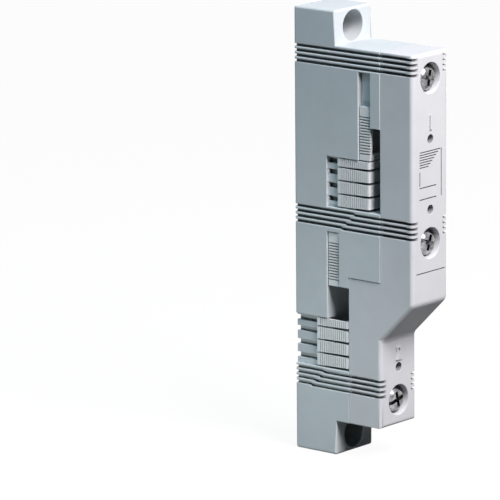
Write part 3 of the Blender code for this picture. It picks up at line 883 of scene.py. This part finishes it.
def make_insert(place):
    """A brass insert with a knurled outside and a cut thread."""
    low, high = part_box(f"thread_insert_{place}")
    z, rear, front, radius = SCREW_HEIGHTS[place], -high.y, -low.y, high.x
    length, bore = front - rear, SHANK_RADIUS + TONGUE_CLEARANCE
    outside = []
    for share, turned_down in KNURL_STATIONS:
        radii = []
        for step in range(ROUND_STEPS):
            dip = KNURL_DEPTH if step % 2 else 0.0
            radii.append(radius - (2 * KNURL_DEPTH if turned_down else dip))
        outside.append(ring_points(radii, rear + share * length, z))
    count = round(length / THREAD_PITCH * THREAD_STEPS)
    inside = []
    for step in range(count + 1):
        distance = step * length / count
        radii = thread_radii(distance, bore - SMALL_ROUNDING, bore + SMALL_ROUNDING)
        inside.append(ring_points(radii, rear + distance, z))
    return loft(f"thread_insert_{place}_turned", outside + inside[::-1], closed=True)


def make_numeral(text, z):
    """A raised plain numeral on the front."""
    curve = bpy.data.curves.new(f"numeral_{text}", "FONT")
    curve.body = text
    curve.size = NUMERAL_SIZE
    curve.align_x = "CENTER"
    curve.align_y = "CENTER"
    curve.extrude = NUMERAL_HEIGHT
    curve.offset = NUMERAL_WEIGHT
    curve.bevel_depth = NUMERAL_EDGE
    curve.bevel_resolution = 1
    guide = bpy.data.objects.new("numeral", curve)
    bpy.context.scene.collection.objects.link(guide)
    mesh = evaluated_mesh(guide)
    bpy.data.objects.remove(guide)
    upright = Matrix(((1, 0, 0), (0, 0, -1), (0, 1, 0))).to_4x4()
    mesh.transform(Matrix.Translation(at(0, cover_front(z), z)) @ upright)
    bm = welded(mesh)
    bpy.data.meshes.remove(mesh)
    return new_object(f"numeral_{text}", bm)


def link_nodes(tree, *pairs):
    for source, target in pairs:
        tree.links.new(source, target)


def noise(tree, coordinates, scale, detail):
    node = tree.nodes.new("ShaderNodeTexNoise")
    node.inputs["Scale"].default_value = scale
    node.inputs["Detail"].default_value = detail
    tree.links.new(coordinates, node.inputs["Vector"])
    return node.outputs["Fac"]


def spread(tree, value, low, high):
    """Maps a noise value onto a range."""
    node = tree.nodes.new("ShaderNodeMapRange")
    node.inputs["From Min"].default_value = NOISE_LOW
    node.inputs["From Max"].default_value = NOISE_HIGH
    node.inputs["To Min"].default_value = low
    node.inputs["To Max"].default_value = high
    tree.links.new(value, node.inputs["Value"])
    return node.outputs["Result"]


def bump(tree, height, strength, distance, normal=None):
    node = tree.nodes.new("ShaderNodeBump")
    node.inputs["Strength"].default_value = strength
    node.inputs["Distance"].default_value = distance
    tree.links.new(height, node.inputs["Height"])
    if normal:
        tree.links.new(normal, node.inputs["Normal"])
    return node.outputs["Normal"]


def tinted(tree, value, dark, light):
    """A colour that a noise value moves between two close tones."""
    ramp = tree.nodes.new("ShaderNodeValToRGB")
    ends = ((NOISE_LOW, dark), (NOISE_HIGH, light))
    for element, (position, colour) in zip(ramp.color_ramp.elements, ends):
        element.position = position
        element.color = (*colour, 1)
    tree.links.new(value, ramp.inputs["Fac"])
    return ramp.outputs["Color"]


def painted_hollow_shade(tree, colour, shade, floor):
    """Painted shade: a colour that sinks towards black deep in the piece's own hollows, where shade falls.
    """
    reach, closed_share, open_share = shade
    # Painted shade: ambient occlusion darkens the colour itself in the piece's own hollows
    hollow = tree.nodes.new("ShaderNodeAmbientOcclusion")
    hollow.inputs["Distance"].default_value = reach
    hollow.only_local = True
    level = tree.nodes.new("ShaderNodeMapRange")
    level.inputs["From Min"].default_value = closed_share
    level.inputs["From Max"].default_value = open_share
    level.inputs["To Min"].default_value = floor
    mix = tree.nodes.new("ShaderNodeMix")
    mix.data_type = "RGBA"
    mix.blend_type = "MULTIPLY"
    mix.inputs["Factor"].default_value = 1.0
    link_nodes(
        tree,
        (hollow.outputs["AO"], level.inputs["Value"]),
        (colour, mix.inputs["A"]),
        (level.outputs["Result"], mix.inputs["B"]),
    )
    return mix.outputs["Result"]


def start_material(name):
    material = bpy.data.materials.new(name)
    material.use_nodes = True
    tree = material.node_tree
    place = tree.nodes.new("ShaderNodeTexCoord").outputs["Object"]
    return material, tree, tree.nodes["Principled BSDF"], place


def plastic(name):
    """Moulded plastic: a fine eroded skin, faint flow clouds, slightly uneven gloss and painted shade in
    its own hollows.
    """
    colour, roughness, shade = PLASTICS[name]
    material, tree, shader, place = start_material(name)
    clouds = noise(tree, place, *CLOUDS)
    grain = noise(tree, place, *GRAIN)
    waves = noise(tree, place, *WAVES)
    dark = tuple(DARK_TINT * c for c in colour)
    light = tuple(LIGHT_TINT * c for c in colour)
    # Random cloud tone, with painted shade darkening the colour in the piece's own hollows
    tone_and_painted_shade = painted_hollow_shade(tree, tinted(tree, clouds, dark, light), shade, PLASTIC_PAINTED_SHADE_FLOOR)
    gloss = spread(tree, waves, roughness - PLASTIC_GLOSS_SPREAD, roughness + PLASTIC_GLOSS_SPREAD)
    skin = bump(tree, grain, *GRAIN_BUMP)
    link_nodes(
        tree,
        (tone_and_painted_shade, shader.inputs["Base Color"]),
        (gloss, shader.inputs["Roughness"]),
        (bump(tree, waves, *WAVE_BUMP, skin), shader.inputs["Normal"]),
    )
    shader.inputs["Specular IOR Level"].default_value = PLASTIC_SPECULAR
    return material


def metal(name):
    """Machined metal with fine scratches, uneven gloss and painted shade in its own hollows."""
    dark, light, roughness = METALS[name]
    material, tree, shader, place = start_material(name)
    stretch = tree.nodes.new("ShaderNodeMapping")
    stretch.inputs["Scale"].default_value = SCRATCH_STRETCH
    tree.links.new(place, stretch.inputs["Vector"])
    scratches = noise(tree, stretch.outputs["Vector"], *SCRATCHES)
    patches = noise(tree, place, *PATCHES)
    # Random patch tone, with painted shade darkening the colour in the piece's own hollows
    tone_and_painted_shade = painted_hollow_shade(tree, tinted(tree, patches, dark, light), METAL_PAINTED_SHADE, METAL_PAINTED_SHADE_FLOOR)
    gloss = spread(tree, scratches, roughness - METAL_GLOSS_BELOW, roughness + METAL_GLOSS_ABOVE)
    shader.inputs["Metallic"].default_value = 1.0
    link_nodes(
        tree,
        (tone_and_painted_shade, shader.inputs["Base Color"]),
        (gloss, shader.inputs["Roughness"]),
        (bump(tree, scratches, *SCRATCH_BUMP), shader.inputs["Normal"]),
    )
    return material


def finish_piece(obj, material, slot, body, *nodes):
    """Gives a piece its finish and shading, hangs it on its body and lets it stand for its nodes."""
    obj.data.materials.clear()
    obj.data.materials.append(material)
    obj.data.shade_smooth()
    obj.data.set_sharp_from_angle(angle=SHARP_ANGLE)
    weighted = obj.modifiers.new("even shading", "WEIGHTED_NORMAL")
    weighted.keep_sharp = True
    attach(obj, body)
    if nodes:
        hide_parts(*nodes)


def dress():
    """Makes every piece and its finish."""
    base_grey = plastic("base_plastic")
    cover_grey = plastic("cover_plastic")
    slider_grey = plastic("slider_plastic")
    steel = metal("plated_steel")
    brass = metal("turned_brass")
    finish_piece(make_base(), base_grey, "base_plastic", "base", "rear_base")
    finish_piece(make_cover(), cover_grey, "cover_plastic", "cover", "front_cover")
    for pole in POLES:
        node = f"{pole}_slide"
        finish_piece(make_slide(node), slider_grey, "slider_plastic", node, node)
        for index in range(1, BLOCK_COUNT + 1):
            node = f"{pole}_block_{index}"
            finish_piece(make_block(node), slider_grey, "slider_plastic", node, node)
    for place in SCREW_HEIGHTS:
        screw, washer, insert = f"cover_screw_{place}", f"screw_washer_{place}", f"thread_insert_{place}"
        finish_piece(make_screw(place), steel, "plated_steel", f"screw_{place}", screw)
        finish_piece(make_washer(place), steel, "plated_steel", f"washer_{place}", washer)
        finish_piece(make_insert(place), brass, "brass", "base", insert)
    for text, z in NUMERALS.items():
        finish_piece(make_numeral(text, z), cover_grey, "cover_plastic", "cover")


def make_camera():
    data = bpy.data.cameras.new("camera")
    data.lens = CAMERA_LENS
    data.sensor_width = CAMERA_SENSOR
    data.clip_end = CAMERA_REACH
    flat = CAMERA_DISTANCE * math.cos(CAMERA_ELEVATION)
    offset = Vector((
        flat * math.sin(CAMERA_AZIMUTH),
        -flat * math.cos(CAMERA_AZIMUTH),
        CAMERA_DISTANCE * math.sin(CAMERA_ELEVATION),
    ))
    camera = bpy.data.objects.new("camera", data)
    look = (-offset).to_track_quat("-Z", "Y").to_matrix().to_4x4()
    roll = Matrix.Rotation(CAMERA_ROLL, 4, "Z")
    camera.matrix_world = Matrix.Translation(CAMERA_TARGET + offset) @ look @ roll
    bpy.context.scene.collection.objects.link(camera)
    bpy.context.scene.camera = camera


def seen_directly(tree):
    """1 for what the camera, a reflection or glass shows, 0 for light that falls on things."""
    path = tree.nodes.new("ShaderNodeLightPath")
    total = path.outputs["Is Camera Ray"]
    for ray in ("Is Glossy Ray", "Is Transmission Ray"):
        either = tree.nodes.new("ShaderNodeMath")
        either.operation = "MAXIMUM"
        link_nodes(tree, (total, either.inputs[0]), (path.outputs[ray], either.inputs[1]))
        total = either.outputs[0]
    return total


def make_world():
    """Surroundings that look white and give a faint light from all round."""
    world = bpy.data.worlds.new("studio")
    bpy.context.scene.world = world
    world.use_nodes = True
    tree = world.node_tree
    tree.nodes.clear()
    ambient = tree.nodes.new("ShaderNodeBackground")
    ambient.inputs["Color"].default_value = (*WORLD_COLOUR, 1)
    ambient.inputs["Strength"].default_value = WORLD_LEVEL
    white = tree.nodes.new("ShaderNodeBackground")
    white.inputs["Color"].default_value = (1, 1, 1, 1)
    mix = tree.nodes.new("ShaderNodeMixShader")
    output = tree.nodes.new("ShaderNodeOutputWorld")
    link_nodes(
        tree,
        (seen_directly(tree), mix.inputs[0]),
        (ambient.outputs[0], mix.inputs[1]),
        (white.outputs[0], mix.inputs[2]),
        (mix.outputs[0], output.inputs[0]),
    )


def make_floor():
    """A floor that looks nearly white, takes a faint shadow and throws little light back."""
    bm = bmesh.new()
    bmesh.ops.create_grid(bm, x_segments=1, y_segments=1, size=FLOOR_SIZE / 2)
    floor = new_object("floor", bm)
    floor.location = (0, 0, -HALF_HEIGHT - FLOOR_GAP)
    material = bpy.data.materials.new("floor")
    material.use_nodes = True
    tree = material.node_tree
    tree.nodes.clear()
    diffuse = tree.nodes.new("ShaderNodeBsdfDiffuse")
    diffuse.inputs["Color"].default_value = (*FLOOR_COLOUR, 1)
    glow = tree.nodes.new("ShaderNodeEmission")
    both = tree.nodes.new("ShaderNodeAddShader")
    level = tree.nodes.new("ShaderNodeMath")
    level.operation = "MULTIPLY"
    level.inputs[1].default_value = FLOOR_GLOW
    output = tree.nodes.new("ShaderNodeOutputMaterial")
    link_nodes(
        tree,
        (seen_directly(tree), level.inputs[0]),
        (level.outputs[0], glow.inputs["Strength"]),
        (diffuse.outputs[0], both.inputs[0]),
        (glow.outputs[0], both.inputs[1]),
        (both.outputs[0], output.inputs[0]),
    )
    floor.data.materials.append(material)


def make_lamps():
    for name, (place, size, power, colour, bounces) in LAMPS.items():
        data = bpy.data.lights.new(name, "AREA")
        data.size = size
        data.energy = power
        data.color = colour
        data.cycles.max_bounces = bounces
        lamp = bpy.data.objects.new(name, data)
        aim = (-place).to_track_quat("-Z", "Y").to_matrix().to_4x4()
        lamp.matrix_world = Matrix.Translation(place) @ aim
        bpy.context.scene.collection.objects.link(lamp)


dress()
make_camera()
make_world()
make_floor()
make_lamps()
bpy.context.scene.view_settings.view_transform = "Standard"
